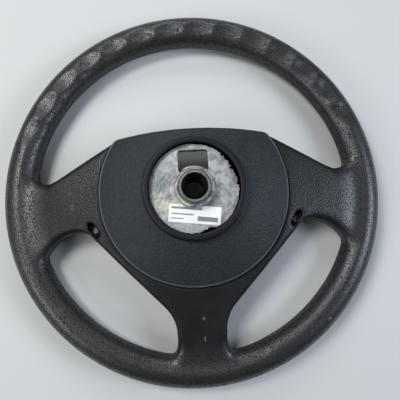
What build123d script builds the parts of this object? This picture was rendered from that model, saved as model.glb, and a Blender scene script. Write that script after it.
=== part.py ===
from build123d import *
from math import cos, radians, sin, sqrt
import os

# A three-spoke car steering wheel without its centre module, lying on its face.
# The origin is on the hub axis, at the plane that the front of the rim rests on.
# +Z points to the steering column, +Y to twelve o'clock. Millimetres and degrees.

# Rim
RIM_R = 190.0
RIM_THICKNESS = 31.2
RIM_SIDES = 20
GRIP_COUNT = 14
GRIP_PITCH = 10.1
GRIP_DEPTH = 1.8
GRIP_ROUND = 60.0

# Spokes, as seen from the back
UPPER_EDGE_REACH = 82.8
UPPER_EDGE_SLOPE = 29.0
UPPER_CORNER_ROUND = 24.0
SIDE_SPOKE_LOW_Y = -32.5
SIDE_CORNER_ROUND = 40.0
FLANK_REACH = 99.0
FLANK_ANGLE = 43.0
FLANK_ROUND = 10.0
LOWER_SPOKE_WIDTH = 48.0
LOWER_SPOKE_ROUND = 38.0
LOWER_CORNER_ROUND = 24.0
SPOKE_TUCK = 8.4
BACK_EDGE_CHAMFER = 2.5
FRONT_EDGE_CHAMFER = 4.0

# Heights of the dished back and front of the foam, level out to the hub's upper edge or so
BACK_LEVEL_RUN = 9.2
BACK_ROOT_Z = 43.5
BACK_MID_R = 130.0
BACK_MID_Z = 36.0
BACK_END_Z = 28.0
FRONT_LEVEL_INSET = 2.8
FRONT_HUB_Z = 13.0
FRONT_MID_R = 130.0
FRONT_MID_Z = 10.0
FRONT_END_Z = 5.0

# Pocket for the centre module
POCKET_R = 80.0
POCKET_END_ANGLE = 39.0
RECESS_HALF_WIDTH = 110.0
RECESS_FLOOR_Z = 26.0
RECESS_WALL = 10.0

# Hub plate and bush
PLATE_R = 44.0
PLATE_BACK_Z = 69.0
PLATE_THICKNESS = 8.0
HUB_BOSS_R = 22.0
BUSH_R = 15.0
BUSH_FRONT_Z = 48.0
BUSH_BACK_Z = 85.0
BUSH_CHAMFER = 1.0
BORE_R = 8.5
MOUTH_R = 12.0
MOUTH_DEPTH = 9.0
MOUTH_CONE_DEPTH = 5.0
WINDOW_WIDTH = 27.6
WINDOW_TOP_Y = 35.3
WINDOW_HUB_GAP = 2.6
WINDOW_ROUND = 3.0

# Armature arms and rim ring
ARM_WIDTH = 28.0
ARM_THICKNESS = 8.0
ARM_LAP = 2.0
ARM_LEAN = 2.0
SIDE_ARM_Y = -5.0
PAD_IN_R = 56.0
PAD_OUT_R = 71.0
PAD_FRONT_Z = 44.0
SPOKE_IN_R = 85.0
HORN_ARM_LENGTH = 32.0
HORN_ARM_THICKNESS = 6.0
HORN_ARM_FRONT_Z = 22.6
RING_WIDTH = 12.0
RING_HEIGHT = 10.0

# Lugs for the module's screws, and the tool slots behind them
LUG_R = 5.8
LUG_HOLE_R = 3.1
LUG_X = 98.0
LUG_Y = -31.0
SLOT_LENGTH = 16.5
SLOT_WIDTH = 6.8
SLOT_ANGLE = 59.5

# Rear cover
COVER_R = 91.0
COVER_TOP_Y = 58.0
COVER_TOP_BOW_R = 614.0
COVER_CORNER_ROUND = 8.0
COVER_EDGE_CHAMFER = 2.5
COVER_WALL = 2.5
COVER_SEAT_Z = 41.5
COVER_EDGE_Z = 50.0
COVER_NECK_Z = 66.5
COVER_GAP = 0.5
SKIRT_LOW_Z = 16.0
SKIRT_END_ANGLE = 42.0
COLLAR_WALL = 2.5
COLLAR_HOLE_R = 41.3
COLLAR_BACK_Z = 76.0
COLLAR_LIP = 3.0
COLLAR_GROOVE = 1.2
PLATE_GAP = 0.5
COVER_SCREW_REACH = 63.5
COVER_BOSS_R = 4.5
COVER_SCREW_R = 2.0
COVER_SCREW_LENGTH = 14.0
COVER_SCREW_HEAD_R = 3.8
COVER_SCREW_HEAD = 2.4
SCREW_GAP = 0.3
SCREW_HOLE_SPARE = 1.0

# Label
LABEL_WIDTH = 47.0
LABEL_HEIGHT = 16.2
LABEL_THICKNESS = 0.2
LABEL_X = -1.1
LABEL_Y = -23.8
LABEL_TURN = -7.8

# Horn switches
HORN_RIM_GAP = 27.8
HORN_Y = -5.0
HORN_LENGTH = 24.0
HORN_HEIGHT = 16.0
HORN_CORNER = 4.0
HORN_TRAVEL = 2.0
HORN_GAP = 0.4
HORN_LIP = 0.8
HORN_LIP_THICKNESS = 1.5
HORN_WALL = 1.5
HORN_FLOOR = 1.2
HORN_FLANGE = 3.0
HORN_FLANGE_THICKNESS = 1.5
HORN_SEAT_Z = 11.5
HORN_PROUD = 2.0
HORN_EDGE_CHAMFER = 1.0
HORN_POST_R = 2.5
LEAF_WIDTH = 5.0
LEAF_LENGTH = 17.0
LEAF_HEIGHT = 5.0
LEAF_THICKNESS = 0.4
CONTACT_R = 2.2

os.makedirs("parts", exist_ok=True)

# How far a cut runs past the surface, and how far from level a wall's normal may be
CUT_SPARE = 1.0
UPRIGHT_LIMIT = 1e-6

# The most that a round may be of the straight side that it ends on
LOWER_CORNER_SHARE = 0.46
LOWER_SPOKE_SHARE = 0.72
SIDE_CORNER_SHARE = 0.62

# How fast a cut-off corner grows with a plan that grows all round
CORNER_GROWTH = 2 - sqrt(2)

# Worked out from the driving dimensions
RIM_IN_R = RIM_R - RIM_THICKNESS
RIM_MID_R = RIM_R - RIM_THICKNESS / 2
RIM_MID_Z = RIM_THICKNESS / 2
SPOKE_END_R = RIM_MID_R - SPOKE_TUCK
BACK_ROOT_R = UPPER_EDGE_REACH + BACK_LEVEL_RUN
FRONT_ROOT_R = UPPER_EDGE_REACH - FRONT_LEVEL_INSET
HORN_X = RIM_IN_R - HORN_RIM_GAP
HORN_ARM_IN_R = HORN_X - HORN_ARM_LENGTH / 2
HORN_ARM_OUT_R = HORN_X + HORN_ARM_LENGTH / 2
COLLAR_R = PLATE_R + PLATE_GAP + COLLAR_WALL
DOME_Z = (COVER_NECK_Z**2 + COLLAR_R**2 - COVER_EDGE_Z**2 - COVER_R**2) / (2 * (COVER_NECK_Z - COVER_EDGE_Z))
DOME_R = sqrt(COVER_R**2 + (COVER_EDGE_Z - DOME_Z) ** 2)
PLATE_FRONT_Z = PLATE_BACK_Z - PLATE_THICKNESS
PAD_BACK_Z = PAD_FRONT_Z + ARM_THICKNESS
SIDES = (("left", -1), ("right", 1))


def polar(reach, angle):
    """A point at an angle from three o'clock, anticlockwise seen from the back."""
    return (reach * cos(radians(angle)), reach * sin(radians(angle)))


def flank_x(y):
    """Where the right-hand flank of the hub is at a height y."""
    return (FLANK_REACH + y * sin(radians(FLANK_ANGLE))) / cos(radians(FLANK_ANGLE))


# Plan of the openings between the spokes, out to the middle of the rim

edge_normal = 90 - UPPER_EDGE_SLOPE
edge_run = sqrt(RIM_MID_R**2 - UPPER_EDGE_REACH**2)
hub_tangent = polar(UPPER_EDGE_REACH, edge_normal)
step = polar(edge_run, -UPPER_EDGE_SLOPE)
rim_meet = (hub_tangent[0] + step[0], hub_tangent[1] + step[1])
with BuildSketch() as upper_gap:
    with BuildLine():
        Line(hub_tangent, rim_meet)
        ThreePointArc(rim_meet, (0, RIM_MID_R), (-rim_meet[0], rim_meet[1]))
        Line((-rim_meet[0], rim_meet[1]), (-hub_tangent[0], hub_tangent[1]))
        ThreePointArc(
            (-hub_tangent[0], hub_tangent[1]), (0, UPPER_EDGE_REACH), hub_tangent
        )
    make_face()
    fillet(upper_gap.vertices().group_by(Axis.Y)[0], UPPER_CORNER_ROUND)

spoke_x = LOWER_SPOKE_WIDTH / 2
spoke_rim = (spoke_x, -sqrt(RIM_MID_R**2 - spoke_x**2))
flank_low_y = (spoke_x * cos(radians(FLANK_ANGLE)) - FLANK_REACH) / sin(radians(FLANK_ANGLE))
flank_low = (spoke_x, flank_low_y)
flank_high = (flank_x(SIDE_SPOKE_LOW_Y), SIDE_SPOKE_LOW_Y)
side_rim = (sqrt(RIM_MID_R**2 - SIDE_SPOKE_LOW_Y**2), SIDE_SPOKE_LOW_Y)
# Straight sides of the lower and the side spoke, which limit the rounds at their ends
lower_side = flank_low_y - spoke_rim[1]
outer_side = side_rim[0] - flank_high[0]
with BuildSketch() as lower_gaps:
    with BuildLine():
        Polyline(spoke_rim, flank_low, flank_high, side_rim)
        ThreePointArc(side_rim, polar(RIM_MID_R, -45), spoke_rim)
    make_face()
    corners = (
        (spoke_rim, min(LOWER_CORNER_ROUND, LOWER_CORNER_SHARE * lower_side)),
        (flank_low, min(LOWER_SPOKE_ROUND, LOWER_SPOKE_SHARE * lower_side)),
        (flank_high, FLANK_ROUND),
        (side_rim, min(SIDE_CORNER_ROUND, SIDE_CORNER_SHARE * outer_side)),
    )
    for corner, corner_round in corners:
        fillet(lower_gaps.vertices().sort_by_distance(corner)[0], corner_round)
    mirror(about=Plane.YZ)

# Plan of the rear cover
bow_y = COVER_TOP_Y - COVER_TOP_BOW_R
corner_y = (COVER_R**2 - COVER_TOP_BOW_R**2 + bow_y**2) / (2 * bow_y)
corner_x = sqrt(COVER_R**2 - corner_y**2)
with BuildSketch() as cover_plan:
    with BuildLine():
        ThreePointArc((corner_x, corner_y), (0, COVER_TOP_Y), (-corner_x, corner_y))
        ThreePointArc((-corner_x, corner_y), (0, -COVER_R), (corner_x, corner_y))
    make_face()
    fillet(cover_plan.vertices(), COVER_CORNER_ROUND)


# Armature: hub plate, three arms, rim ring and the lugs for the centre module

def arm_profile(lowered):
    """Side view of an arm; lowered is the run under the horn switch, if there is one."""
    boss_r = HUB_BOSS_R - ARM_LAP
    root_back_z = COVER_NECK_Z - COVER_WALL - PLATE_GAP
    front = [(boss_r, PLATE_FRONT_Z), (PLATE_R, PLATE_FRONT_Z)]
    front += [(PAD_IN_R, PAD_FRONT_Z), (PAD_OUT_R, PAD_FRONT_Z)]
    front += [(SPOKE_IN_R, RECESS_FLOOR_Z)]
    back = [(r + ARM_LEAN, z + ARM_THICKNESS) for r, z in front[2:]]
    if lowered:
        front += [(RECESS_HALF_WIDTH, RECESS_FLOOR_Z), (HORN_ARM_IN_R, HORN_ARM_FRONT_Z)]
        front += [(HORN_ARM_OUT_R, HORN_ARM_FRONT_Z)]
        back += [(RECESS_HALF_WIDTH + ARM_LEAN, RECESS_FLOOR_Z + ARM_THICKNESS)]
        back += [(r + ARM_LEAN, z + HORN_ARM_THICKNESS) for r, z in front[-2:]]
    ring_in_r = RIM_MID_R - RING_WIDTH / 2
    ring_front_z = RIM_MID_Z - RING_HEIGHT / 2
    front += [(ring_in_r - ARM_LEAN, ring_front_z), (RIM_MID_R, ring_front_z)]
    back += [(ring_in_r, ring_front_z + RING_HEIGHT), (RIM_MID_R, ring_front_z + RING_HEIGHT)]
    return front + back[::-1] + [(PLATE_R, root_back_z), (boss_r, root_back_z)]


with BuildPart() as armature:
    with BuildSketch(Plane.XY.offset(PLATE_FRONT_Z)):
        Circle(PLATE_R)
    extrude(amount=PLATE_THICKNESS)
    with BuildSketch(Plane.XY.offset(BUSH_FRONT_Z)):
        Circle(HUB_BOSS_R)
    extrude(amount=PLATE_FRONT_Z - BUSH_FRONT_Z)
    for name, side in SIDES:
        with BuildSketch(Plane.XZ.offset(-SIDE_ARM_Y)):
            with BuildLine():
                Polyline(*[(side * r, z) for r, z in arm_profile(True)], close=True)
            make_face()
        extrude(amount=ARM_WIDTH / 2, both=True)
        with BuildSketch(Plane.XY.offset(RECESS_FLOOR_Z)):
            with Locations((side * LUG_X, LUG_Y)):
                Circle(LUG_R)
            with Locations((side * LUG_X, (LUG_Y + SIDE_ARM_Y) / 2)):
                Rectangle(2 * LUG_R, SIDE_ARM_Y - LUG_Y)
        extrude(amount=ARM_THICKNESS)
    with BuildSketch(Plane.YZ):
        with BuildLine():
            Polyline(*[(-r, z) for r, z in arm_profile(False)], close=True)
        make_face()
    extrude(amount=ARM_WIDTH / 2, both=True)
    with BuildSketch(Plane.XZ):
        with Locations((RIM_MID_R, RIM_MID_Z)):
            Rectangle(RING_WIDTH, RING_HEIGHT)
    revolve(axis=Axis.Z)
    # Seat of the bush, window for the wires, holes for the screws
    with BuildSketch(Plane.XY.offset(BUSH_FRONT_Z)):
        Circle(BUSH_R)
    extrude(amount=BUSH_BACK_Z - BUSH_FRONT_Z, mode=Mode.SUBTRACT)
    with BuildSketch(Plane.XY.offset(PLATE_FRONT_Z)) as window:
        with Locations((0, WINDOW_TOP_Y / 2)):
            Rectangle(WINDOW_WIDTH, WINDOW_TOP_Y)
        Circle(BUSH_R + WINDOW_HUB_GAP, mode=Mode.SUBTRACT)
        fillet(window.vertices(), WINDOW_ROUND)
    extrude(amount=PLATE_THICKNESS, mode=Mode.SUBTRACT)
    with BuildSketch(Plane.XY.offset(RECESS_FLOOR_Z)):
        with Locations((LUG_X, LUG_Y), (-LUG_X, LUG_Y)):
            Circle(LUG_HOLE_R)
    extrude(amount=ARM_THICKNESS, mode=Mode.SUBTRACT)
    with BuildSketch(Plane.XY.offset(PAD_FRONT_Z)):
        with Locations(
            (COVER_SCREW_REACH, SIDE_ARM_Y), (-COVER_SCREW_REACH, SIDE_ARM_Y), (0, -COVER_SCREW_REACH)
        ):
            Circle(COVER_SCREW_R + SCREW_GAP)
    extrude(amount=ARM_THICKNESS, mode=Mode.SUBTRACT)

# Hub bush: a steel sleeve with a widened mouth on the column side

with BuildPart() as hub_bush:
    with BuildSketch(Plane.XZ):
        with BuildLine():
            Polyline(
                (BORE_R, BUSH_FRONT_Z),
                (BUSH_R, BUSH_FRONT_Z),
                (BUSH_R, BUSH_BACK_Z - BUSH_CHAMFER),
                (BUSH_R - BUSH_CHAMFER, BUSH_BACK_Z),
                (MOUTH_R, BUSH_BACK_Z),
                (MOUTH_R, BUSH_BACK_Z - MOUTH_DEPTH),
                (BORE_R, BUSH_BACK_Z - MOUTH_DEPTH - MOUTH_CONE_DEPTH),
                close=True,
            )
        make_face()
    revolve(axis=Axis.Z)


# Horn switches in the front of the side spokes

tray_floor_z = HORN_ARM_FRONT_Z - HORN_FLOOR
flange_front_z = HORN_SEAT_Z - HORN_FLANGE_THICKNESS
button_front_z = flange_front_z - HORN_PROUD
lip_front_z = HORN_SEAT_Z + HORN_GAP
lip_back_z = lip_front_z + HORN_LIP_THICKNESS
leaf_crown_z = tray_floor_z - LEAF_HEIGHT
contact_front_z = leaf_crown_z + LEAF_THICKNESS + HORN_TRAVEL
lip_grow = HORN_GAP + HORN_LIP
cavity_grow = lip_grow + HORN_GAP
tray_grow = cavity_grow + HORN_WALL
flange_grow = tray_grow + HORN_FLANGE


def horn_plan(grow):
    """The button's plan with its corners cut off, grown all round, in the sketch that is open."""
    with BuildSketch(mode=Mode.PRIVATE) as plan:
        Rectangle(HORN_LENGTH + 2 * grow, HORN_HEIGHT + 2 * grow)
        chamfer(plan.vertices(), HORN_CORNER + grow * CORNER_GROWTH)
    add(plan.sketch)


def horn_plane(side, z):
    """A plane at height z, centred on the horn switch of one side."""
    return Plane((side * HORN_X, HORN_Y, z))


for name, side in SIDES:
    with BuildPart() as horn_housing:
        with BuildSketch(horn_plane(side, flange_front_z)):
            horn_plan(flange_grow)
        extrude(amount=HORN_FLANGE_THICKNESS)
        with BuildSketch(horn_plane(side, HORN_SEAT_Z)):
            horn_plan(tray_grow)
        extrude(amount=HORN_ARM_FRONT_Z - HORN_SEAT_Z)
        with BuildSketch(horn_plane(side, HORN_SEAT_Z)):
            horn_plan(cavity_grow)
        extrude(amount=tray_floor_z - HORN_SEAT_Z, mode=Mode.SUBTRACT)
        with BuildSketch(horn_plane(side, flange_front_z)):
            horn_plan(HORN_GAP)
        extrude(amount=HORN_FLANGE_THICKNESS, mode=Mode.SUBTRACT)
    horn_housing.part.label = f"horn_housing_{name}"
    export_step(horn_housing.part, f"parts/horn_housing_{name}.step")

    with BuildPart() as horn_button:
        with BuildSketch(horn_plane(side, button_front_z)):
            horn_plan(0)
        extrude(amount=lip_back_z - button_front_z)
        chamfer(horn_button.edges().group_by(Axis.Z)[0], HORN_EDGE_CHAMFER)
        with BuildSketch(horn_plane(side, lip_front_z)):
            horn_plan(lip_grow)
        extrude(amount=HORN_LIP_THICKNESS)
        with BuildSketch(horn_plane(side, button_front_z + HORN_WALL)):
            horn_plan(-HORN_WALL)
        extrude(amount=lip_back_z - button_front_z, mode=Mode.SUBTRACT)
        with BuildSketch(horn_plane(side, button_front_z + HORN_WALL)):
            Circle(HORN_POST_R)
        extrude(amount=leaf_crown_z - button_front_z - HORN_WALL)
    horn_button.part.label = f"horn_button_{name}"
    export_step(horn_button.part, f"parts/horn_button_{name}.step")

    with BuildPart() as horn_spring:
        with BuildSketch(Plane.XZ.offset(-HORN_Y)):
            with BuildLine():
                mid = side * HORN_X
                foot = LEAF_LENGTH / 2
                inner_foot = foot - 2 * LEAF_THICKNESS
                inner_crown = (mid, leaf_crown_z + LEAF_THICKNESS)
                outer = ((mid - foot, tray_floor_z), (mid, leaf_crown_z), (mid + foot, tray_floor_z))
                inner = ((mid + inner_foot, tray_floor_z), inner_crown, (mid - inner_foot, tray_floor_z))
                ThreePointArc(*outer)
                Line(outer[2], inner[0])
                ThreePointArc(*inner)
                Line(inner[2], outer[0])
            make_face()
        extrude(amount=LEAF_WIDTH / 2, both=True)
    horn_spring.part.label = f"horn_spring_{name}"
    export_step(horn_spring.part, f"parts/horn_spring_{name}.step")

    with BuildPart() as horn_contact:
        with BuildSketch(horn_plane(side, contact_front_z)):
            Circle(CONTACT_R)
        extrude(amount=tray_floor_z - contact_front_z)
    horn_contact.part.label = f"horn_contact_{name}"
    export_step(horn_contact.part, f"parts/horn_contact_{name}.step")


# Rear cover: a domed shell with a collar round the hub and a skirt along its top
with BuildPart() as cover_hollow:
    with BuildSketch(Plane.XZ):
        with BuildLine():
            Polyline(
                (0, COVER_NECK_Z - COVER_WALL),
                (COLLAR_R, COVER_NECK_Z - COVER_WALL),
                (COVER_R, COVER_EDGE_Z - COVER_WALL),
                (COVER_R, 0),
                (0, 0),
                close=True,
            )
        make_face()
    revolve(axis=Axis.Z)
    with BuildSketch():
        add(cover_plan.sketch)
        offset(amount=-COVER_WALL, mode=Mode.REPLACE)
    extrude(amount=COLLAR_BACK_Z, mode=Mode.INTERSECT)

boss_reach = COVER_SCREW_REACH + COVER_BOSS_R
boss_back_z = DOME_Z + sqrt(DOME_R**2 - boss_reach**2) - COVER_WALL / 4
screw_places = [(0, -COVER_SCREW_REACH)]
screw_places += [(side * COVER_SCREW_REACH, SIDE_ARM_Y) for name, side in SIDES]
with BuildPart() as rear_cover:
    with BuildSketch():
        add(cover_plan.sketch)
    extrude(amount=COLLAR_BACK_Z)
    with Locations((0, 0, DOME_Z)):
        Sphere(DOME_R, mode=Mode.INTERSECT)
    upright = rear_cover.faces().filter_by(lambda f: abs(f.normal_at().Z) < UPRIGHT_LIMIT)
    chamfer([wall.edges().sort_by(Axis.Z)[-1] for wall in upright], COVER_EDGE_CHAMFER)
    add(cover_hollow.part, mode=Mode.SUBTRACT)
    # Collar: a wall outside the hub plate, with a flat lip over its edge
    with BuildSketch(Plane.XY.offset(COVER_NECK_Z - COVER_WALL)):
        Circle(COLLAR_R)
    extrude(amount=COLLAR_BACK_Z - COVER_NECK_Z + COVER_WALL)
    with BuildSketch(Plane.XY.offset(COVER_NECK_Z - COVER_WALL)):
        Circle(PLATE_R + PLATE_GAP)
    extrude(amount=COLLAR_BACK_Z - COLLAR_LIP - COVER_NECK_Z + COVER_WALL, mode=Mode.SUBTRACT)
    with BuildSketch(Plane.XY.offset(COVER_NECK_Z)):
        Circle(COLLAR_HOLE_R)
    extrude(amount=COLLAR_BACK_Z - COVER_NECK_Z, mode=Mode.SUBTRACT)
    with BuildSketch(Plane.XY.offset(COVER_NECK_Z - COLLAR_GROOVE)):
        Circle(COLLAR_R + COLLAR_GROOVE)
        Circle(COLLAR_R, mode=Mode.SUBTRACT)
    extrude(amount=COLLAR_BACK_Z - COVER_NECK_Z, mode=Mode.SUBTRACT)
    # Screw bosses standing on the armature's pads
    with BuildSketch(Plane.XY.offset(PAD_BACK_Z)):
        with Locations(*screw_places):
            Circle(COVER_BOSS_R)
    extrude(amount=boss_back_z - PAD_BACK_Z)
    with BuildSketch(Plane.XY.offset(PAD_BACK_Z)):
        with Locations(*screw_places):
            Circle(COVER_SCREW_R)
    extrude(amount=COVER_SCREW_LENGTH - ARM_THICKNESS + SCREW_HOLE_SPARE, mode=Mode.SUBTRACT)
    # The edge stops on its seat in the foam, apart from the skirt along the top
    with BuildSketch():
        Circle(COVER_R + CUT_SPARE)
        with BuildLine():
            skirt_end = polar(2 * COVER_R, SKIRT_END_ANGLE)
            Polyline((0, 0), skirt_end, (-skirt_end[0], skirt_end[1]), close=True)
        make_face(mode=Mode.SUBTRACT)
    extrude(amount=COVER_SEAT_Z, mode=Mode.SUBTRACT)
    with BuildSketch():
        Circle(COVER_R + CUT_SPARE)
    extrude(amount=SKIRT_LOW_Z, mode=Mode.SUBTRACT)
rear_cover.part.label = "rear_cover"
export_step(rear_cover.part, "parts/rear_cover.step")

with BuildPart() as cover_screws:
    with BuildSketch(Plane.XY.offset(PAD_FRONT_Z - COVER_SCREW_HEAD)):
        with Locations(*screw_places):
            Circle(COVER_SCREW_HEAD_R)
    extrude(amount=COVER_SCREW_HEAD)
    with BuildSketch(Plane.XY.offset(PAD_FRONT_Z)):
        with Locations(*screw_places):
            Circle(COVER_SCREW_R)
    extrude(amount=COVER_SCREW_LENGTH)
cover_screws.part.label = "cover_screws"
export_step(cover_screws.part, "parts/cover_screws.step")

with BuildPart() as label:
    with BuildSketch(Plane.XY.offset(PLATE_BACK_Z)):
        with Locations((LABEL_X, LABEL_Y)):
            Rectangle(LABEL_WIDTH, LABEL_HEIGHT, rotation=LABEL_TURN)
    extrude(amount=LABEL_THICKNESS)
label.part.label = "label"
export_step(label.part, "parts/label.step")

# Foam: the rim, spokes and hub wall in one moulding

inset_reach = FLANK_REACH - RECESS_WALL
inset_y = -(inset_reach - RECESS_HALF_WIDTH * cos(radians(FLANK_ANGLE))) / sin(radians(FLANK_ANGLE))
inset_x = (inset_reach - (POCKET_R + RECESS_WALL) * sin(radians(FLANK_ANGLE))) / cos(radians(FLANK_ANGLE))
with BuildSketch() as module_recess:
    with BuildLine():
        Polyline(
            (0, UPPER_EDGE_REACH),
            (RECESS_HALF_WIDTH, UPPER_EDGE_REACH),
            (RECESS_HALF_WIDTH, inset_y),
            (inset_x, -POCKET_R - RECESS_WALL),
            (0, -POCKET_R - RECESS_WALL),
            close=True,
        )
    make_face()
    mirror(about=Plane.YZ)
    with Locations((LUG_X, LUG_Y), (-LUG_X, LUG_Y)):
        Circle(LUG_R)

with BuildPart() as foam_moulding:
    # Spokes and hub wall: a dished disc less the openings, which ends inside the rim
    with BuildSketch(Plane.XZ):
        with BuildLine():
            Polyline(
                (0, FRONT_HUB_Z),
                (FRONT_ROOT_R, FRONT_HUB_Z),
                (FRONT_MID_R, FRONT_MID_Z),
                (SPOKE_END_R, FRONT_END_Z),
                (SPOKE_END_R, BACK_END_Z),
                (BACK_MID_R, BACK_MID_Z),
                (BACK_ROOT_R, BACK_ROOT_Z),
                (0, BACK_ROOT_Z),
                close=True,
            )
        make_face()
    revolve(axis=Axis.Z)
    with BuildSketch():
        add(upper_gap.sketch)
        add(lower_gaps.sketch)
    extrude(amount=BACK_ROOT_Z + CUT_SPARE, mode=Mode.SUBTRACT)
    upright = foam_moulding.faces().filter_by(lambda f: abs(f.normal_at().Z) < UPRIGHT_LIMIT)
    walls = upright.filter_by(lambda f: f.center().cross(Vector(0, 0, 1)).length < SPOKE_END_R - CUT_SPARE)
    backs = [wall.edges().sort_by(Axis.Z)[-1] for wall in walls]
    fronts = [wall.edges().sort_by(Axis.Z)[0] for wall in walls]
    chamfer(backs, BACK_EDGE_CHAMFER)
    chamfer(fronts, FRONT_EDGE_CHAMFER)
    # Rim
    with BuildSketch(Plane.XZ):
        with Locations((RIM_MID_R, RIM_MID_Z)):
            RegularPolygon(RIM_THICKNESS / 2, RIM_SIDES)
    revolve(axis=Axis.Z)
    # Finger grips: shallow hollows across the back of the rim, spread about twelve o'clock
    for index in range(GRIP_COUNT):
        angle = 90 + (index - (GRIP_COUNT - 1) / 2) * GRIP_PITCH
        across = Plane((0, 0, RIM_THICKNESS), x_dir=(*polar(1, angle + 90), 0), z_dir=(*polar(1, angle), 0))
        with BuildSketch(across.offset(RIM_IN_R)):
            with Locations((0, GRIP_ROUND - GRIP_DEPTH)):
                Circle(GRIP_ROUND)
        extrude(amount=RIM_THICKNESS, mode=Mode.SUBTRACT)
    # Pocket and recess for the centre module, open to the front
    with BuildSketch():
        Circle(POCKET_R)
        with BuildLine():
            pocket_top = RIM_IN_R - RECESS_WALL
            pocket_end = polar(pocket_top, POCKET_END_ANGLE)
            Polyline((0, 0), pocket_end, (0, pocket_top), (-pocket_end[0], pocket_end[1]), close=True)
        make_face()
    extrude(amount=BACK_ROOT_Z + CUT_SPARE, mode=Mode.SUBTRACT)
    add(module_recess.sketch)
    extrude(amount=RECESS_FLOOR_Z, mode=Mode.SUBTRACT)
    # Seat of the rear cover
    with BuildSketch(Plane.XY.offset(COVER_SEAT_Z)):
        add(cover_plan.sketch)
        offset(amount=COVER_GAP, mode=Mode.REPLACE)
    extrude(amount=BACK_ROOT_Z, mode=Mode.SUBTRACT)
    # Tool slots down to the lugs, and the seats of the horn switches
    for name, side in SIDES:
        with BuildSketch(Plane.XY.offset(RECESS_FLOOR_Z + ARM_THICKNESS)):
            with Locations((side * LUG_X, LUG_Y)):
                SlotOverall(SLOT_LENGTH, SLOT_WIDTH, rotation=side * SLOT_ANGLE)
        extrude(amount=BACK_ROOT_Z, mode=Mode.SUBTRACT)
        with BuildSketch(Plane.XY.offset(RECESS_FLOOR_Z)):
            with Locations((side * LUG_X, LUG_Y)):
                Circle(LUG_R)
        extrude(amount=ARM_THICKNESS, mode=Mode.SUBTRACT)
        with BuildSketch(horn_plane(side, 0)):
            horn_plan(flange_grow + HORN_GAP)
        extrude(amount=HORN_SEAT_Z, mode=Mode.SUBTRACT)
        with BuildSketch(horn_plane(side, 0)):
            horn_plan(tray_grow + HORN_GAP)
        extrude(amount=HORN_ARM_FRONT_Z, mode=Mode.SUBTRACT)
    add(armature.part, mode=Mode.SUBTRACT)
foam_moulding.part.label = "foam_moulding"
export_step(foam_moulding.part, "parts/foam_moulding.step")
armature.part.label = "armature"
export_step(armature.part, "parts/armature.step")
hub_bush.part.label = "hub_bush"
export_step(hub_bush.part, "parts/hub_bush.step")
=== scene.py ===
import math

import bmesh
import bpy
from mathutils import Euler, Matrix, Vector, noise


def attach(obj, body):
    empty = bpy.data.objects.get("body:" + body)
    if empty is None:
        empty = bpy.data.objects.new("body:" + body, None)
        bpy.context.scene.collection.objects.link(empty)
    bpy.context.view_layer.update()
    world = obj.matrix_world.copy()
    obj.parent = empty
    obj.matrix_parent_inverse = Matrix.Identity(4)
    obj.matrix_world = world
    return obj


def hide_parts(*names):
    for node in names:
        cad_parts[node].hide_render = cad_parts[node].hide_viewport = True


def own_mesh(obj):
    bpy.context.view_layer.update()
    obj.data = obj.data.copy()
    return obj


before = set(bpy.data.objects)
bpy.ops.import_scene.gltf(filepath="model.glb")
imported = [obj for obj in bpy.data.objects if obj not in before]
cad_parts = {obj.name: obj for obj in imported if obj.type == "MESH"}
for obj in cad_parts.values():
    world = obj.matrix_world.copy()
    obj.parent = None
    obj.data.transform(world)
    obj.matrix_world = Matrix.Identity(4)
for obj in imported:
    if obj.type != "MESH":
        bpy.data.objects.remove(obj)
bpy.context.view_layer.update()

# Names and sizes of the part that the looks follow, in metres and radians
SIDES = ("left", "right")
RIM_MID_R = 0.1744
RIM_MID_Z = 0.0156
GRIP_COUNT = 14
GRIP_PITCH = math.radians(10.1)
COVER_R = 0.091
PLATE_R = 0.044
PLATE_BACK_Z = 0.069
COLLAR_R = 0.047
COLLAR_HOLE_R = 0.0413
BUSH_R = 0.015
BUSH_BACK_Z = 0.085
MOUTH_R = 0.012
WINDOW_HALF_WIDTH = 0.0145
WINDOW_Y = (0.0165, 0.0360)
LUG = (0.098, -0.031)
SLOT_HALF_LENGTH = 0.0086
SLOT_HALF_WIDTH = 0.0037
SLOT_TURN = math.radians(59.5)
SLOT_Z = (0.0315, 0.0402)
LABEL_CENTRE = (-0.0011, -0.0238, 0.0692)
LABEL_TURN = math.radians(-7.8)

# Places where the looks change, in metres
RIM_LOOK_R = (RIM_MID_R - 0.030, RIM_MID_R - 0.016)
POLISH_Z = (0.012, 0.027)
COLLAR_LOOK_R = COLLAR_R - 0.0002
COLLAR_WALL_R = COLLAR_HOLE_R + 0.0003
COLLAR_GRAIN_R = (COLLAR_R - 0.001, COLLAR_R + 0.001)
GROOVE_R = COLLAR_R + 0.0006
GROOVE_FADE = (0.0002, 0.0009)
# Where the painted highlight along the cover's edge lies
HIGHLIGHT_EDGE_R = COVER_R - 0.0016
HIGHLIGHT_EDGE_FADE = (0.0002, 0.0012)
SEAM = (0.0027, 0.0555)
SEAM_HALF_WIDTH = 0.0004
SEAM_HALF_LENGTH = 0.0035
WINDOW_MARGIN = 0.0003
WINDOW_SHADE_Z = (PLATE_BACK_Z - 0.0065, PLATE_BACK_Z - 0.0035)
WINDOW_EDGE_Z = PLATE_BACK_Z - 0.0004
BUSH_FACE_R = (MOUTH_R + 0.0010, MOUTH_R + 0.0018)
BORE_WALL_R = MOUTH_R + 0.0002
BORE_SHADE_Z = (BUSH_BACK_Z - 0.0075, BUSH_BACK_Z - 0.0005)
PATCH_HALF_DEPTH = 0.01

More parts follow.
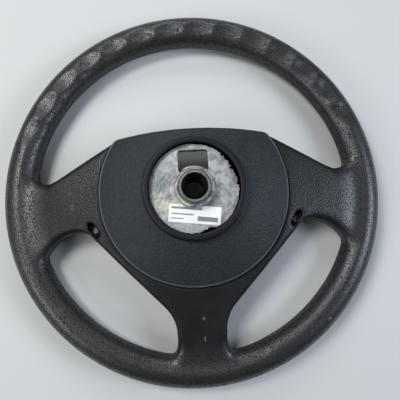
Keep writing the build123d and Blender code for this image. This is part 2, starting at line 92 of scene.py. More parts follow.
# Shapes made here: the foam skin and the cover shell, in metres, radians and passes of smoothing
FOAM_VOXEL = 0.00165
FOAM_PASSES = 3
SPOKE_END_PASSES = 16
BACK_PASSES = 24
BACK_Z = 0.018
SPOKE_END_R = (0.140, 0.172)
SIDE_SPOKE_DEGREES = (-38, 30)
LOWER_SPOKE_TOP_DEGREES = -68
LIP_R = (0.114, 0.172)
LIP_DEGREES = (-38, -5)
CHANNEL_CORE_R = 0.0105
CHANNEL_STEPS = 96
GRIP_BAND = (0.012, 0.018)
GRIP_DEPTH = 0.0012
GRIP_TILT = math.radians(95)
GRIP_SPREAD = math.radians(36)
COVER_VOXEL = 0.0009
COVER_PASSES = 4
SMOOTH_SHARE = 0.5
JOIN_REACH = 1e-6

# Shapes made here: the torn foam on the hub plate
FLASH_STEPS = 540
FLASH_OUTER_R = PLATE_R - 0.0004
FLASH_INNER_R = COLLAR_HOLE_R + 0.0002
FLASH_Z = PLATE_BACK_Z + 0.0003
FLASH_THICKNESS = 0.0005
FLASH_LEAST = 0.0006
FLASH_WIDEST = 0.0024
FLASH_SHARE = 0.8
FLASH_TOOTH = 0.0016
FLASH_TOOTH_SHARE = 0.2

# Its wide places, each with an angle and a spread in degrees and a width in metres
FLASH_WIDE_PLACES = ((30, 38, FLASH_WIDEST), (-72, 14, 0.0016))

# Its waves and teeth, each with a fineness and a seed
FLASH_WAVES = (5.0, 0.1)
FLASH_TEETH = ((14.0, 0.3), (30.0, 0.7))

# Shapes made here: the shoulder round the bush
SHOULDER_R = 0.0022
SHOULDER_STRETCH = (1.4, 2.6)
SHOULDER_MID_R = BUSH_R + 0.0010
SHOULDER_Z = PLATE_BACK_Z - 0.0004
SHOULDER_SIDES = 12
SHOULDER_STEPS = 72
LUMP_MID_R = BUSH_R + 0.0014

# Its lumps, each with a share of its size, a fineness and a seed
LUMPS = ((0.35, 2.5, 0.2), (0.25, 8.0, 0.9))

# Colours, in shares of red, green and blue light
SKIN = (0.008, 0.0085, 0.009)
RUBBED_SKIN = (0.015, 0.015, 0.0147)
# Painted shade in the creases of the leather grain
PAINTED_CREASE_SHADE = (0.0015, 0.0015, 0.0017)
# Painted shade inside the tool slots
PAINTED_SLOT_SHADE = (0.0006, 0.0006, 0.0006)
SCUFF_GREY = (0.2, 0.19, 0.18)
RIM_SCUFF_GREY = (0.25, 0.24, 0.22)
NICK_WHITE = (0.5, 0.5, 0.48)
SMUDGE_BROWN = (0.075, 0.06, 0.05)
SHELL = (0.024, 0.028, 0.032)
DUSTY_SHELL = (0.031, 0.035, 0.039)
# Painted shade in the hollows of the cover's grain
PAINTED_HOLLOW_SHADE = (0.008, 0.0095, 0.011)
COLLAR_BLACK = (0.007, 0.008, 0.010)
# A painted highlight along the cover's rounded edge
PAINTED_EDGE_HIGHLIGHT = (0.19, 0.195, 0.2)
SEAM_BLACK = (0.004, 0.004, 0.005)
# Painted shade in the groove round the collar and on the collar's inner wall
PAINTED_GROOVE_SHADE = (0.003, 0.0032, 0.0036)
DARK_CASTING = (0.2, 0.205, 0.21)
PALE_CASTING = (0.48, 0.48, 0.46)
SCRAPED_CASTING = (0.55, 0.55, 0.54)
# Painted shade in the tool slots and on the window's walls
PAINTED_CASTING_SHADE = (0.004, 0.0037, 0.0033)
STEEL = (0.27, 0.27, 0.255)
GRIMY_STEEL = (0.13, 0.125, 0.11)
BUSH_FACE = (0.16, 0.16, 0.15)
# Painted shade down the bore
PAINTED_BORE_SHADE = (0.004, 0.004, 0.004)
PAPER = (0.86, 0.86, 0.85)
SOILED_PAPER = (0.72, 0.71, 0.68)
BAR_GREY = (0.22, 0.22, 0.23)
FLOOR_GREY = (0.56, 0.56, 0.55)
SKY = (0.95, 0.97, 1.0, 1)

# Grain and patches, in shares of a pebble or of a patch
CREASE_WIDTH = 0.16
CREASE_DEPTH = 0.35
PATCH_EDGE = (0.45, 1.1)
PATCH_RAGGED = 1.2

# Marks: how strongly they show, and how fine the scrapes are along each axis
SEAM_STRENGTH = 0.6
SCRAPE_STRENGTH = 0.2
SCRAPE_TURN = 0.6
SCRAPE_FINENESS = (60.0, 700.0, 60.0)

# Studio, in metres and radians
FLOOR_HALF_WIDTH = 3
FLOOR_Z = -0.0002
SKY_LIGHT = 0.055
SENSOR_WIDTH = 36
LENS = 38.7
CAMERA_PLACE = (-0.0087, -0.0522, 0.4536)
CAMERA_TURN = (0.108340, -0.026921, -0.062870)


# Node tools

def feed(tree, socket, value):
    """Links a value to a socket, or sets it there."""
    if isinstance(value, bpy.types.NodeSocket):
        tree.links.new(value, socket)
    else:
        socket.default_value = value


def put(tree, kind, inputs=None, **settings):
    """Adds a shader node with its settings, and values or links for its inputs."""
    node = tree.nodes.new("ShaderNode" + kind)
    for name, value in settings.items():
        setattr(node, name, value)
    for key, value in (inputs or {}).items():
        feed(tree, node.inputs[key], value)
    return node


def effect(name, inputs, outputs):
    """A node group with named inputs (name, socket type, default) and outputs (name, socket type)."""
    group = bpy.data.node_groups.new(name, "ShaderNodeTree")
    for title, kind, default in inputs:
        socket = group.interface.new_socket(title, in_out="INPUT", socket_type="NodeSocket" + kind)
        if default is not None:
            socket.default_value = default
    for title, kind in outputs:
        group.interface.new_socket(title, in_out="OUTPUT", socket_type="NodeSocket" + kind)
    return group, group.nodes.new("NodeGroupInput").outputs, group.nodes.new("NodeGroupOutput").inputs


def use(tree, group, inputs):
    """Places a node group in a material."""
    return put(tree, "Group", inputs, node_tree=group)


def math_node(tree, operation, first, second=0.5):
    """A Math node of one or two inputs."""
    return put(tree, "Math", {0: first, 1: second}, operation=operation).outputs[0]


def vector_node(tree, operation, inputs):
    """A Vector Math node."""
    return put(tree, "VectorMath", inputs, operation=operation).outputs


def times(tree, first, *others):
    """Multiplies values and masks."""
    for other in others:
        first = math_node(tree, "MULTIPLY", first, other)
    return first


def opposite(tree, mask):
    """A mask turned round."""
    return math_node(tree, "SUBTRACT", 1.0, mask)


def below(tree, value, limit):
    """1 where a value is below a limit, otherwise 0."""
    return math_node(tree, "LESS_THAN", value, limit)


def apart(tree, value, middle):
    """How far a value is from a middle."""
    return math_node(tree, "ABSOLUTE", math_node(tree, "SUBTRACT", value, middle))


def near(tree, value, middle, half):
    """1 where a value is within half of a middle, otherwise 0."""
    return below(tree, apart(tree, value, middle), half)


def between(tree, value, limits, margin=0.0):
    """1 where a value is between two limits, widened by a margin, otherwise 0."""
    return near(tree, value, sum(limits) / 2, (limits[1] - limits[0]) / 2 + margin)


def span(tree, value, low, high, to_low=0.0, to_high=1.0):
    """Maps a range of a value smoothly to another."""
    inputs = {"Value": value, "From Min": low, "From Max": high, "To Min": to_low, "To Max": to_high}
    return put(tree, "MapRange", inputs, interpolation_type="SMOOTHSTEP").outputs[0]


def ramp(tree, mask, off, on):
    """Goes smoothly from one number, where a mask is 0, to another, where it is 1."""
    return span(tree, mask, 0.0, 1.0, off, on)


def blend(tree, factor, first, second):
    """Mixes two colours by a mask."""
    node = put(tree, "Mix", data_type="RGBA")
    for key, value in (("Factor_Float", factor), ("A_Color", first), ("B_Color", second)):
        socket = next(s for s in node.inputs if s.identifier == key)
        feed(tree, socket, (*value, 1) if isinstance(value, tuple) else value)
    return next(s for s in node.outputs if s.identifier == "Result_Color")


# Shared effects

def make_pebble_grain():
    """Leather grain: pebbles with creases between them, warped so that no two are alike."""
    group, given, out = effect(
        "pebble_grain",
        [("Vector", "Vector", None), ("Pebbles", "Float", 520.0), ("Warp", "Float", 0.0016)],
        [("Height", "Float"), ("Crease", "Float")],
    )
    drift = put(group, "TexNoise", {"Vector": given["Vector"], "Scale": 260.0, "Detail": 2.0})
    centred = vector_node(group, "SUBTRACT", {0: drift.outputs["Color"], 1: (0.5, 0.5, 0.5)})
    moved = vector_node(group, "SCALE", {0: centred[0], 3: given["Warp"]})
    place = vector_node(group, "ADD", {0: given["Vector"], 1: moved[0]})
    cell = {"Vector": place[0], "Scale": given["Pebbles"]}
    centre = put(group, "TexVoronoi", {**cell, "Smoothness": 0.25}, feature="SMOOTH_F1").outputs["Distance"]
    border = put(group, "TexVoronoi", cell, feature="DISTANCE_TO_EDGE").outputs["Distance"]
    dome = opposite(group, math_node(group, "POWER", centre, 2.0))
    crease = span(group, border, 0.0, CREASE_WIDTH, 1.0, 0.0)
    height = math_node(group, "SUBTRACT", dome, times(group, crease, CREASE_DEPTH))
    group.links.new(height, out["Height"])
    group.links.new(crease, out["Crease"])
    return group


def make_fine_grain():
    """Moulded plastic grain: fine and even."""
    group, given, out = effect(
        "fine_grain", [("Vector", "Vector", None), ("Grains", "Float", 1500.0)], [("Height", "Float")]
    )
    cell = {"Vector": given["Vector"], "Scale": given["Grains"]}
    grains = put(group, "TexVoronoi", cell, feature="SMOOTH_F1")
    group.links.new(grains.outputs["Distance"], out["Height"])
    return group


def make_smudge():
    """Dirt and rubbed patches: a soft mask with ragged edges."""
    group, given, out = effect(
        "smudge",
        [
            ("Vector", "Vector", None),
            ("Patches", "Float", 40.0),
            ("Low", "Float", 0.5),
            ("High", "Float", 0.7),
        ],
        [("Mask", "Float")],
    )
    cloud = {"Vector": given["Vector"], "Scale": given["Patches"], "Detail": 7.0, "Roughness": 0.62}
    amount = put(group, "TexNoise", cloud).outputs["Fac"]
    group.links.new(span(group, amount, given["Low"], given["High"]), out["Mask"])
    return group


def make_patch():
    """A ragged patch at one place: a stain, a scuff or a nick."""
    group, given, out = effect(
        "patch",
        [("Vector", "Vector", None), ("Centre", "Vector", None), ("Half size", "Vector", None)],
        [("Mask", "Float")],
    )
    away = vector_node(group, "SUBTRACT", {0: given["Vector"], 1: given["Centre"]})
    scaled = vector_node(group, "DIVIDE", {0: away[0], 1: given["Half size"]})
    reach = vector_node(group, "LENGTH", {0: scaled[0]})["Value"]
    cloud = {"Vector": given["Vector"], "Scale": 420.0, "Detail": 4.0, "Roughness": 0.6}
    amount = put(group, "TexNoise", cloud).outputs["Fac"]
    torn = times(group, math_node(group, "SUBTRACT", amount, 0.5), PATCH_RAGGED)
    mask = span(group, math_node(group, "ADD", reach, torn), *PATCH_EDGE, 1.0, 0.0)
    group.links.new(mask, out["Mask"])
    return group


pebble_grain = make_pebble_grain()
fine_grain = make_fine_grain()
smudge = make_smudge()
patch = make_patch()


# Materials

def finish_of(name, colour, roughness, metallic=0.0):
    """A new material: its tree, its Principled shader and its object coordinates."""
    material = bpy.data.materials.new(name)
    material.use_nodes = True
    tree = material.node_tree
    shader = tree.nodes["Principled BSDF"]
    shader.inputs["Base Color"].default_value = (*colour, 1)
    shader.inputs["Roughness"].default_value = roughness
    shader.inputs["Metallic"].default_value = metallic
    place = put(tree, "TexCoord").outputs["Object"]
    return material, tree, shader, place


def bump(tree, shader, height, distance, strength):
    """Gives a shader a bumpy surface."""
    node = put(tree, "Bump", {"Height": height, "Distance": distance, "Strength": strength})
    tree.links.new(node.outputs["Normal"], shader.inputs["Normal"])


def patched(tree, place, colour, patches):
    """Lays patches (centre, half size in plan, colour, strength) over a colour."""
    for centre, half, tone, strength in patches:
        where = {"Vector": place, "Centre": centre, "Half size": (*half, PATCH_HALF_DEPTH)}
        mask = use(tree, patch, where).outputs["Mask"]
        colour = blend(tree, times(tree, mask, strength), colour, tone)
    return colour


def axes_of(tree, place):
    """The three axes of a place."""
    return put(tree, "SeparateXYZ", {0: place}).outputs


def plan_reach(tree, axes):
    """The distance from the hub axis."""
    flat = put(tree, "CombineXYZ", {"X": axes["X"], "Y": axes["Y"]})
    return vector_node(tree, "LENGTH", {0: flat.outputs[0]})["Value"]


def in_slot(tree, axes):
    """A mask of the insides of the two tool slots, where painted shade goes."""
    away_x = math_node(tree, "SUBTRACT", math_node(tree, "ABSOLUTE", axes["X"]), LUG[0])
    away_y = math_node(tree, "SUBTRACT", axes["Y"], LUG[1])
    flat = put(tree, "CombineXYZ", {"X": away_x, "Y": away_y}).outputs[0]
    turned = put(tree, "VectorRotate", {"Vector": flat, "Angle": -SLOT_TURN}, rotation_type="Z_AXIS")
    slot_axes = axes_of(tree, turned.outputs[0])
    across = near(tree, slot_axes["Y"], 0.0, SLOT_HALF_WIDTH)
    along = near(tree, slot_axes["X"], 0.0, SLOT_HALF_LENGTH)
    return times(tree, across, along, between(tree, axes["Z"], SLOT_Z))


def leather_foam():
    """Near-black foam skin with leather grain, painted shade in its creases and in the tool slots, shinier
    on the back of the rim, with rubs and scuffs.
    """
    material, tree, shader, place = finish_of("leather_foam", colour=(0.02, 0.02, 0.021), roughness=0.42)
    shader.inputs["Specular IOR Level"].default_value = 0.3
    shader.inputs["Coat Roughness"].default_value = 0.42
    shader.inputs["Coat IOR"].default_value = 1.6
    grain = use(tree, pebble_grain, {"Vector": place, "Pebbles": 510.0, "Warp": 0.0015})
    rubbed = use(tree, smudge, {"Vector": place, "Patches": 22.0, "Low": 0.42, "High": 0.72})
    skin = blend(tree, rubbed.outputs["Mask"], SKIN, RUBBED_SKIN)
    scuffs = (
        ((0.0021, -0.1206, 0.034), (0.0016, 0.0022), SCUFF_GREY, 0.7),
        ((0.0020, -0.1399, 0.030), (0.0012, 0.0030), SCUFF_GREY, 0.7),
        ((0.1246, -0.1296, 0.029), (0.0020, 0.0013), RIM_SCUFF_GREY, 0.8),
        ((0.0998, 0.1239, 0.029), (0.0011, 0.0011), NICK_WHITE, 0.8),
        ((-0.1180, -0.0080, 0.040), (0.0030, 0.0045), SMUDGE_BROWN, 0.6),
        ((-0.1200, 0.0060, 0.040), (0.0022, 0.0016), SMUDGE_BROWN, 0.6),
    )
    skin = patched(tree, place, skin, scuffs)
    axes = axes_of(tree, place)
    on_rim = span(tree, plan_reach(tree, axes), *RIM_LOOK_R)
    shade = times(tree, grain.outputs["Crease"], ramp(tree, on_rim, off=0.6, on=0.95))
    slot_shade = in_slot(tree, axes)
    # Painted shade in the grain's creases
    crease_shaded = blend(tree, shade, skin, PAINTED_CREASE_SHADE)
    # Painted shade inside the tool slots
    tree.links.new(blend(tree, slot_shade, crease_shaded, PAINTED_SLOT_SHADE), shader.inputs["Base Color"])
    gloss = times(tree, ramp(tree, shade, off=1.0, on=0.05), opposite(tree, slot_shade))
    polish = times(tree, on_rim, span(tree, axes["Z"], *POLISH_Z, to_low=0.25))
    tree.links.new(times(tree, gloss, polish), shader.inputs["Coat Weight"])
    tree.links.new(ramp(tree, shade, off=0.36, on=0.8), shader.inputs["Roughness"])
    raised = times(tree, grain.outputs["Height"], ramp(tree, on_rim, off=0.6, on=1.0))
    bump(tree, shader, raised, distance=0.0003, strength=0.9)
    return material


def cover_plastic():
    """Slate-grey moulded plastic with a fine grain and painted shade in its hollows, a painted highlight
    along its edge, and painted shade in the groove round the collar and on the collar's inner wall; its
    collar is smooth and darker.
    """
    material, tree, shader, place = finish_of("cover_plastic", colour=(0.03, 0.034, 0.042), roughness=0.5)
    shader.inputs["Specular IOR Level"].default_value = 0.22
    axes = axes_of(tree, place)
    reach = plan_reach(tree, axes)
    grain = use(tree, fine_grain, {"Vector": place, "Grains": 800.0})
    dust = use(tree, smudge, {"Vector": place, "Patches": 30.0, "Low": 0.45, "High": 0.8})
    shell = blend(tree, dust.outputs["Mask"], SHELL, DUSTY_SHELL)
    # Painted shade in the grain's hollows
    hollow_shade = span(tree, grain.outputs["Height"], low=0.3, high=0.75, to_high=0.7)
    shell = blend(tree, hollow_shade, shell, PAINTED_HOLLOW_SHADE)
    shell = blend(tree, below(tree, reach, COLLAR_LOOK_R), shell, COLLAR_BLACK)
    # A painted highlight along the cover's rounded edge
    edge = span(tree, apart(tree, reach, HIGHLIGHT_EDGE_R), *HIGHLIGHT_EDGE_FADE, to_low=0.7, to_high=0.0)
    shell = blend(tree, edge, shell, PAINTED_EDGE_HIGHLIGHT)
    seam_width = near(tree, axes["X"], SEAM[0], SEAM_HALF_WIDTH)
    seam = times(tree, seam_width, near(tree, axes["Y"], SEAM[1], SEAM_HALF_LENGTH), SEAM_STRENGTH)
    shell = blend(tree, seam, shell, SEAM_BLACK)
    # Painted shade in the groove round the collar and on the collar's inner wall
    groove_shade = span(tree, apart(tree, reach, GROOVE_R), *GROOVE_FADE, to_low=1.0, to_high=0.0)
    painted_shade = math_node(tree, "MAXIMUM", below(tree, reach, COLLAR_WALL_R), groove_shade)
    tree.links.new(blend(tree, painted_shade, shell, PAINTED_GROOVE_SHADE), shader.inputs["Base Color"])
    raised = times(tree, grain.outputs["Height"], span(tree, reach, *COLLAR_GRAIN_R))
    bump(tree, shader, raised, distance=0.0007, strength=0.8)
    return material


def cast_metal():
    """Silver-grey rough casting, scraped and stained; painted shade in the slots and on the window's walls.
    """
    material, tree, shader, place = finish_of(
        "cast_metal", colour=(0.4, 0.4, 0.39), roughness=0.5, metallic=0.55
    )
    axes = axes_of(tree, place)
    mottle = use(tree, smudge, {"Vector": place, "Patches": 140.0, "Low": 0.32, "High": 0.68})
    along = {"Vector": place, "Rotation": (0, 0, SCRAPE_TURN), "Scale": SCRAPE_FINENESS}
    drawn = put(tree, "Mapping", along)
    scrape = use(tree, smudge, {"Vector": drawn.outputs[0], "Patches": 1.0, "Low": 0.45, "High": 0.75})
    grey = blend(tree, mottle.outputs["Mask"], DARK_CASTING, PALE_CASTING)
    grey = blend(tree, times(tree, scrape.outputs["Mask"], SCRAPE_STRENGTH), grey, SCRAPED_CASTING)
    stains = (
        ((-0.0300, 0.0080, PLATE_BACK_Z), (0.0075, 0.0130), (0.22, 0.235, 0.26), 0.75),
        ((-0.0220, 0.0220, PLATE_BACK_Z), (0.0080, 0.0060), (0.28, 0.3, 0.33), 0.6),
        ((-0.0290, -0.0140, PLATE_BACK_Z), (0.0130, 0.0080), (0.62, 0.59, 0.45), 0.5),
        ((-0.0140, -0.0110, PLATE_BACK_Z), (0.0090, 0.0060), (0.6, 0.57, 0.46), 0.5),
        ((0.0180, -0.0160, PLATE_BACK_Z), (0.0080, 0.0060), (0.3, 0.29, 0.27), 0.6),
        ((0.0280, -0.0240, PLATE_BACK_Z), (0.0110, 0.0080), (0.34, 0.33, 0.34), 0.6),
        ((-0.0040, -0.0380, PLATE_BACK_Z), (0.0200, 0.0050), (0.34, 0.34, 0.35), 0.6),
    )
    stained = patched(tree, place, grey, stains)
    # Painted shade in the tool slots and on the upper part of the window's walls
    window_x = near(tree, axes["X"], 0.0, WINDOW_HALF_WIDTH + WINDOW_MARGIN)
    window_y = between(tree, axes["Y"], WINDOW_Y, WINDOW_MARGIN)
    window_wall_shade = times(tree, span(tree, axes["Z"], *WINDOW_SHADE_Z), below(tree, axes["Z"], WINDOW_EDGE_Z))
    painted_shade = math_node(tree, "MAXIMUM", in_slot(tree, axes), times(tree, window_x, window_y, window_wall_shade))
    tree.links.new(blend(tree, painted_shade, stained, PAINTED_CASTING_SHADE), shader.inputs["Base Color"])
    tree.links.new(ramp(tree, painted_shade, off=0.55, on=0.0), shader.inputs["Metallic"])
    tree.links.new(ramp(tree, painted_shade, off=0.5, on=1.0), shader.inputs["Roughness"])
    bump(tree, shader, mottle.outputs["Mask"], distance=0.0006, strength=0.6)
    return material


def turned_steel():
    """The bush's steel, with painted shade down its bore."""
    material, tree, shader, place = finish_of(
        "turned_steel", colour=(0.36, 0.36, 0.34), roughness=0.42, metallic=0.8
    )
    axes = axes_of(tree, place)
    reach = plan_reach(tree, axes)
    grain = use(tree, fine_grain, {"Vector": place, "Grains": 1600.0})
    grime = use(tree, smudge, {"Vector": place, "Patches": 160.0, "Low": 0.4, "High": 0.7})
    steel = blend(tree, grime.outputs["Mask"], STEEL, GRIMY_STEEL)
    steel = blend(tree, span(tree, reach, *BUSH_FACE_R), steel, BUSH_FACE)
    # Painted shade down the bore, darker the deeper it goes
    bore_depth_shade = span(tree, axes["Z"], *BORE_SHADE_Z, to_low=1.0, to_high=0.3)
    painted_shade = times(tree, below(tree, reach, BORE_WALL_R), bore_depth_shade)
    tree.links.new(blend(tree, painted_shade, steel, PAINTED_BORE_SHADE), shader.inputs["Base Color"])
    tree.links.new(ramp(tree, painted_shade, off=0.8, on=0.0), shader.inputs["Metallic"])
    bump(tree, shader, grain.outputs["Height"], distance=0.0002, strength=0.4)
    return material


def plain_finish(name, colour, roughness, metallic, grains, depth):
    """A finish with only a fine grain."""
    material, tree, shader, place = finish_of(name, colour, roughness, metallic)
    grain = use(tree, fine_grain, {"Vector": place, "Grains": grains})
    bump(tree, shader, grain.outputs["Height"], depth, strength=0.4)
    return material


def bright_metal(name, colour):
    """A smooth bare metal."""
    return plain_finish(name, colour, roughness=0.3, metallic=1.0, grains=2600.0, depth=0.0001)


def bar_mask(tree, axes, ends, middle, half):
    """A mask of one grey bar on the label."""
    return times(tree, between(tree, axes["X"], ends), near(tree, axes["Y"], middle, half))


def label_paper():
    """White label with four plain grey bars, each given by its ends, its middle and half its height."""
    material, tree, shader, place = finish_of("label_paper", colour=(0.85, 0.85, 0.84), roughness=0.4)
    turned = put(
        tree,
        "Mapping",
        {"Vector": place, "Location": LABEL_CENTRE, "Rotation": (0, 0, LABEL_TURN)},
        vector_type="TEXTURE",
    )
    axes = axes_of(tree, turned.outputs[0])
    dirt = use(tree, smudge, {"Vector": place, "Patches": 90.0, "Low": 0.5, "High": 0.8})
    paper = blend(tree, dirt.outputs["Mask"], PAPER, SOILED_PAPER)
    bars = (
        ((-0.0215, 0.0065), 0.0050, 0.0010),
        ((-0.0210, -0.0012), -0.0004, 0.0006),
        ((-0.0212, -0.0100), -0.0046, 0.0005),
        ((0.0028, 0.0210), -0.0036, 0.0021),
    )
    for ends, middle, half in bars:
        paper = blend(tree, bar_mask(tree, axes, ends, middle, half), paper, BAR_GREY)
    tree.links.new(paper, shader.inputs["Base Color"])
    return material


foam_finish = leather_foam()
cover_finish = cover_plastic()
cast_finish = cast_metal()
steel_finish = turned_steel()
screw_finish = bright_metal("plated_steel", (0.45, 0.45, 0.44))
leaf_finish = bright_metal("spring_steel", (0.55, 0.55, 0.54))
brass_finish = bright_metal("contact_brass", (0.65, 0.5, 0.22))
horn_finish = plain_finish(
    "horn_plastic", (0.02, 0.02, 0.021), roughness=0.45, metallic=0.0, grains=1500.0, depth=0.0003
)
paper_finish = label_paper()


# Mesh tools

def merged(node):
    """A bmesh of a CAD node with its loose triangles joined."""
    shape = bmesh.new()
    shape.from_mesh(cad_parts[node].data)
    bmesh.ops.remove_doubles(shape, verts=shape.verts, dist=JOIN_REACH)
    return shape


def piece_of(shape, name, material, body="wheel", smooth=True):
    """Turns a bmesh into a piece of the object."""
    mesh = bpy.data.meshes.new(name)
    shape.to_mesh(mesh)
    shape.free()
    for polygon in mesh.polygons:
        polygon.use_smooth = smooth
    mesh.materials.append(material)
    piece = bpy.data.objects.new(name, mesh)
    bpy.context.scene.collection.objects.link(piece)
    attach(piece, body)
    return piece


def remeshed(shape, voxel):
    """A bmesh made anew from even small squares, which joins what overlaps."""
    mesh = bpy.data.meshes.new("rough")
    shape.to_mesh(mesh)
    shape.free()
    rough = bpy.data.objects.new("rough", mesh)
    bpy.context.scene.collection.objects.link(rough)
    modifier = rough.modifiers.new("even", "REMESH")
    modifier.mode = "VOXEL"
    modifier.voxel_size = voxel
    even = rough.evaluated_get(bpy.context.evaluated_depsgraph_get())
    shape = bmesh.new()
    shape.from_mesh(even.to_mesh())
    even.to_mesh_clear()
    bpy.data.objects.remove(rough)
    bpy.data.meshes.remove(mesh)
    return shape


def relax(shape, verts, passes):
    """Smooths some vertices a number of times."""
    for _ in range(passes):
        bmesh.ops.smooth_vert(
            shape, verts=verts, factor=SMOOTH_SHARE, use_axis_x=True, use_axis_y=True, use_axis_z=True
        )


def edges_at(verts):
    """The edges that end at some vertices, each once."""
    return list({edge for vert in verts for edge in vert.link_edges})


def stood_at(reach, height):
    """Stands a flat circle up at a distance from the hub axis and a height."""
    return Matrix.Translation((reach, 0, height)) @ Matrix.Rotation(math.pi / 2, 4, "X")


def spun_ring(shape, sides, radius, matrix, steps):
    """A ring round the hub axis: a small circle that is put in its place and swept once round."""
    circle = bmesh.ops.create_circle(shape, segments=sides, radius=radius)["verts"]
    bmesh.ops.transform(shape, matrix=matrix, verts=circle)
    bmesh.ops.spin(
        shape,
        geom=circle + edges_at(circle),
        cent=(0, 0, 0),
        axis=(0, 0, 1),
        angle=2 * math.pi,
        steps=steps,
        use_merge=True,
    )


def within(value, limits):
    """Is a value between two limits?"""
    return limits[0] < value < limits[1]


def bell(value, middle, spread):
    """1 at a middle, and less the further a value is from it."""
    return math.exp(-((value - middle) / spread) ** 2)


def ragged(angle, fine, seed):
    """Uneven steps round the hub, between -1 and 1, the same each time."""
    return noise.noise(Vector((fine * math.cos(angle), fine * math.sin(angle), seed)))


# Foam moulding: rim, spokes and hub wall, with soft run-outs where the spokes meet the rim

def near_spoke_end(point):
    """Is this point where a spoke runs into the rim, or on the lip below a side spoke?"""
    reach = math.hypot(point.x, point.y)
    angle = math.degrees(math.atan2(point.y, abs(point.x)))
    on_lip = within(reach, LIP_R) and within(angle, LIP_DEGREES)
    at_spoke = within(angle, SIDE_SPOKE_DEGREES) or angle < LOWER_SPOKE_TOP_DEGREES
    return on_lip or (within(reach, SPOKE_END_R) and at_spoke)


def fill_ring_channel(shape):
    """A core in the ring's channel, which saves the channel's hidden walls."""
    turn = stood_at(RIM_MID_R, RIM_MID_Z) @ Matrix.Rotation(math.pi / 4, 4, "Z")
    spun_ring(shape, 4, CHANNEL_CORE_R, turn, CHANNEL_STEPS)
    bmesh.ops.recalc_face_normals(shape, faces=[face for face in shape.faces if len(face.verts) == 4])


def hollow_grips(shape):
    """Deepens the finger grips along the crest of the rim, with crisp ridges between them."""
    for vert in shape.verts:
        outward = Vector((vert.co.x, vert.co.y, 0)).normalized()
        section = vert.co - outward * RIM_MID_R - Vector((0, 0, RIM_MID_Z))
        place = (math.atan2(vert.co.y, vert.co.x) - math.pi / 2) / GRIP_PITCH + GRIP_COUNT / 2
        if not within(section.length, GRIP_BAND) or not within(place, (0, GRIP_COUNT)):
            continue
        along = 2 * (place % 1) - 1
        tilt = math.atan2(section.z, section.dot(outward))
        fade = min(1, place, GRIP_COUNT - place)
        depth = GRIP_DEPTH * fade * (1 - along**2) * bell(tilt, GRIP_TILT, GRIP_SPREAD)
        vert.co -= section.normalized() * depth


def foam_skin():
    """The foam's visible skin."""
    shape = merged("foam_moulding")
    fill_ring_channel(shape)
    shape = remeshed(shape, FOAM_VOXEL)
    relax(shape, shape.verts, FOAM_PASSES)
    ends = [v for v in shape.verts if near_spoke_end(v.co)]
    relax(shape, ends, SPOKE_END_PASSES)
    relax(shape, [v for v in ends if v.co.z > BACK_Z], BACK_PASSES)
    hollow_grips(shape)
    skin = piece_of(shape, "foam_skin", foam_finish)
    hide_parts("foam_moulding")


# The other pieces

def cover_shell():
    """The rear cover with softened edges."""
    shape = remeshed(merged("rear_cover"), COVER_VOXEL)
    relax(shape, shape.verts, COVER_PASSES)
    shell = piece_of(shape, "cover_shell", cover_finish)
    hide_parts("rear_cover")


def flash_width(angle):
    """How far the torn foam reaches in over the hub plate at an angle round the hub."""
    wide = 0.0
    for middle, spread, width in FLASH_WIDE_PLACES:
        wide += width * bell(angle, math.radians(middle), math.radians(spread))
    tooth = sum(FLASH_TOOTH * ragged(angle, fine, seed) for fine, seed in FLASH_TEETH)
    tongue = wide * (FLASH_SHARE + ragged(angle, *FLASH_WAVES))
    return max(0.0, FLASH_LEAST + tongue + tooth * (FLASH_TOOTH_SHARE + wide / FLASH_WIDEST))


def foam_flash():
    """Foam that crept over the edge of the hub plate, widest at the upper right and torn there."""
    shape = bmesh.new()
    outer = bmesh.ops.create_circle(shape, segments=FLASH_STEPS, radius=FLASH_OUTER_R)["verts"]
    grown = bmesh.ops.extrude_edge_only(shape, edges=edges_at(outer))["geom"]
    for vert in (v for v in grown if isinstance(v, bmesh.types.BMVert)):
        angle = math.atan2(vert.co.y, vert.co.x)
        vert.co *= (FLASH_INNER_R - flash_width(angle)) / vert.co.length
    bmesh.ops.solidify(shape, geom=shape.faces[:], thickness=FLASH_THICKNESS)
    bmesh.ops.translate(shape, verts=shape.verts, vec=(0, 0, FLASH_Z))
    bmesh.ops.recalc_face_normals(shape, faces=shape.faces)
    piece_of(shape, "foam_flash", foam_finish, smooth=False)


def hub_shoulder():
    """The lumpy shoulder of casting that holds the bush."""
    shape = bmesh.new()
    turn = stood_at(SHOULDER_MID_R, SHOULDER_Z) @ Matrix.Diagonal((*SHOULDER_STRETCH, 1, 1))
    spun_ring(shape, SHOULDER_SIDES, SHOULDER_R, turn, SHOULDER_STEPS)
    for vert in shape.verts:
        angle = math.atan2(vert.co.y, vert.co.x)
        lump = 1 + sum(share * ragged(angle, fine, seed) for share, fine, seed in LUMPS)
        middle = Vector((math.cos(angle), math.sin(angle), 0)) * LUMP_MID_R
        middle.z = SHOULDER_Z
        vert.co = middle + (vert.co - middle) * lump
    bmesh.ops.recalc_face_normals(shape, faces=shape.faces)
    piece_of(shape, "hub_shoulder", cast_finish)


def sprung_leaf(side):
    """The bent leaf behind a horn button, on a mesh of its own; the real leaf flattens as the button is
    pressed.
    """
    leaf = piece_of(merged("horn_spring_" + side), "leaf_" + side, leaf_finish, smooth=False)
    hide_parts("horn_spring_" + side)
    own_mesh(leaf)


foam_skin()
cover_shell()
foam_flash()
hub_shoulder()
for side in SIDES:
    sprung_leaf(side)

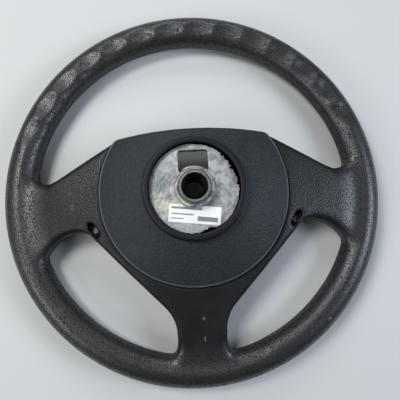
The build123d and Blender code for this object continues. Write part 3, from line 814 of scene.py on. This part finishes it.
# CAD nodes that show as they are
shown = {
    "armature": cast_finish,
    "hub_bush": steel_finish,
    "cover_screws": screw_finish,
    "label": paper_finish,
}
for side in SIDES:
    shown["horn_housing_" + side] = horn_finish
    shown["horn_button_" + side] = horn_finish
    shown["horn_contact_" + side] = brass_finish
for node, material in shown.items():
    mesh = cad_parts[node].data
    mesh.materials.clear()
    mesh.materials.append(material)


# Studio

def studio_floor():
    """Plain pale floor."""
    shape = bmesh.new()
    bmesh.ops.create_grid(shape, x_segments=1, y_segments=1, size=FLOOR_HALF_WIDTH)
    mesh = bpy.data.meshes.new("floor")
    shape.to_mesh(mesh)
    shape.free()
    mesh.materials.append(finish_of("pale_floor", FLOOR_GREY, roughness=0.8)[0])
    floor = bpy.data.objects.new("floor", mesh)
    floor.location.z = FLOOR_Z
    bpy.context.scene.collection.objects.link(floor)


def soft_lamp(name, place, size, watts, colour):
    """A lamp of a width and a depth that points at the hub."""
    lamp = bpy.data.lights.new(name, "AREA")
    lamp.shape = "RECTANGLE"
    lamp.size, lamp.size_y = size
    lamp.energy = watts
    lamp.color = colour
    holder = bpy.data.objects.new(name, lamp)
    holder.location = place
    holder.rotation_euler = (-Vector(place)).to_track_quat("-Z", "Y").to_euler()
    bpy.context.scene.collection.objects.link(holder)


studio_floor()
soft_lamp("ceiling left", (-0.52, 0.32, 1.03), (0.38, 0.38), watts=8.6, colour=(0.96, 1.0, 1.0))
soft_lamp("low left", (-0.88, -0.45, 0.78), (0.5, 0.5), watts=5.0, colour=(0.93, 0.98, 1.0))
soft_lamp("cool right", (1.0, -0.1, 0.78), (0.5, 0.5), watts=9.8, colour=(0.75, 0.84, 1.0))
soft_lamp("window", (0.0, 1.05, 0.75), (0.7, 0.5), watts=5.0, colour=(0.96, 1.0, 1.0))

world = bpy.data.worlds.new("studio")
bpy.context.scene.world = world
world.use_nodes = True
world.node_tree.nodes["Background"].inputs["Color"].default_value = SKY
world.node_tree.nodes["Background"].inputs["Strength"].default_value = SKY_LIGHT

camera = bpy.data.cameras.new("camera")
camera.sensor_width = SENSOR_WIDTH
camera.lens = LENS
viewer = bpy.data.objects.new("camera", camera)
viewer.location = CAMERA_PLACE
viewer.rotation_euler = Euler(CAMERA_TURN)
bpy.context.scene.collection.objects.link(viewer)
bpy.context.scene.camera = viewer
bpy.context.scene.view_settings.view_transform = "Standard"
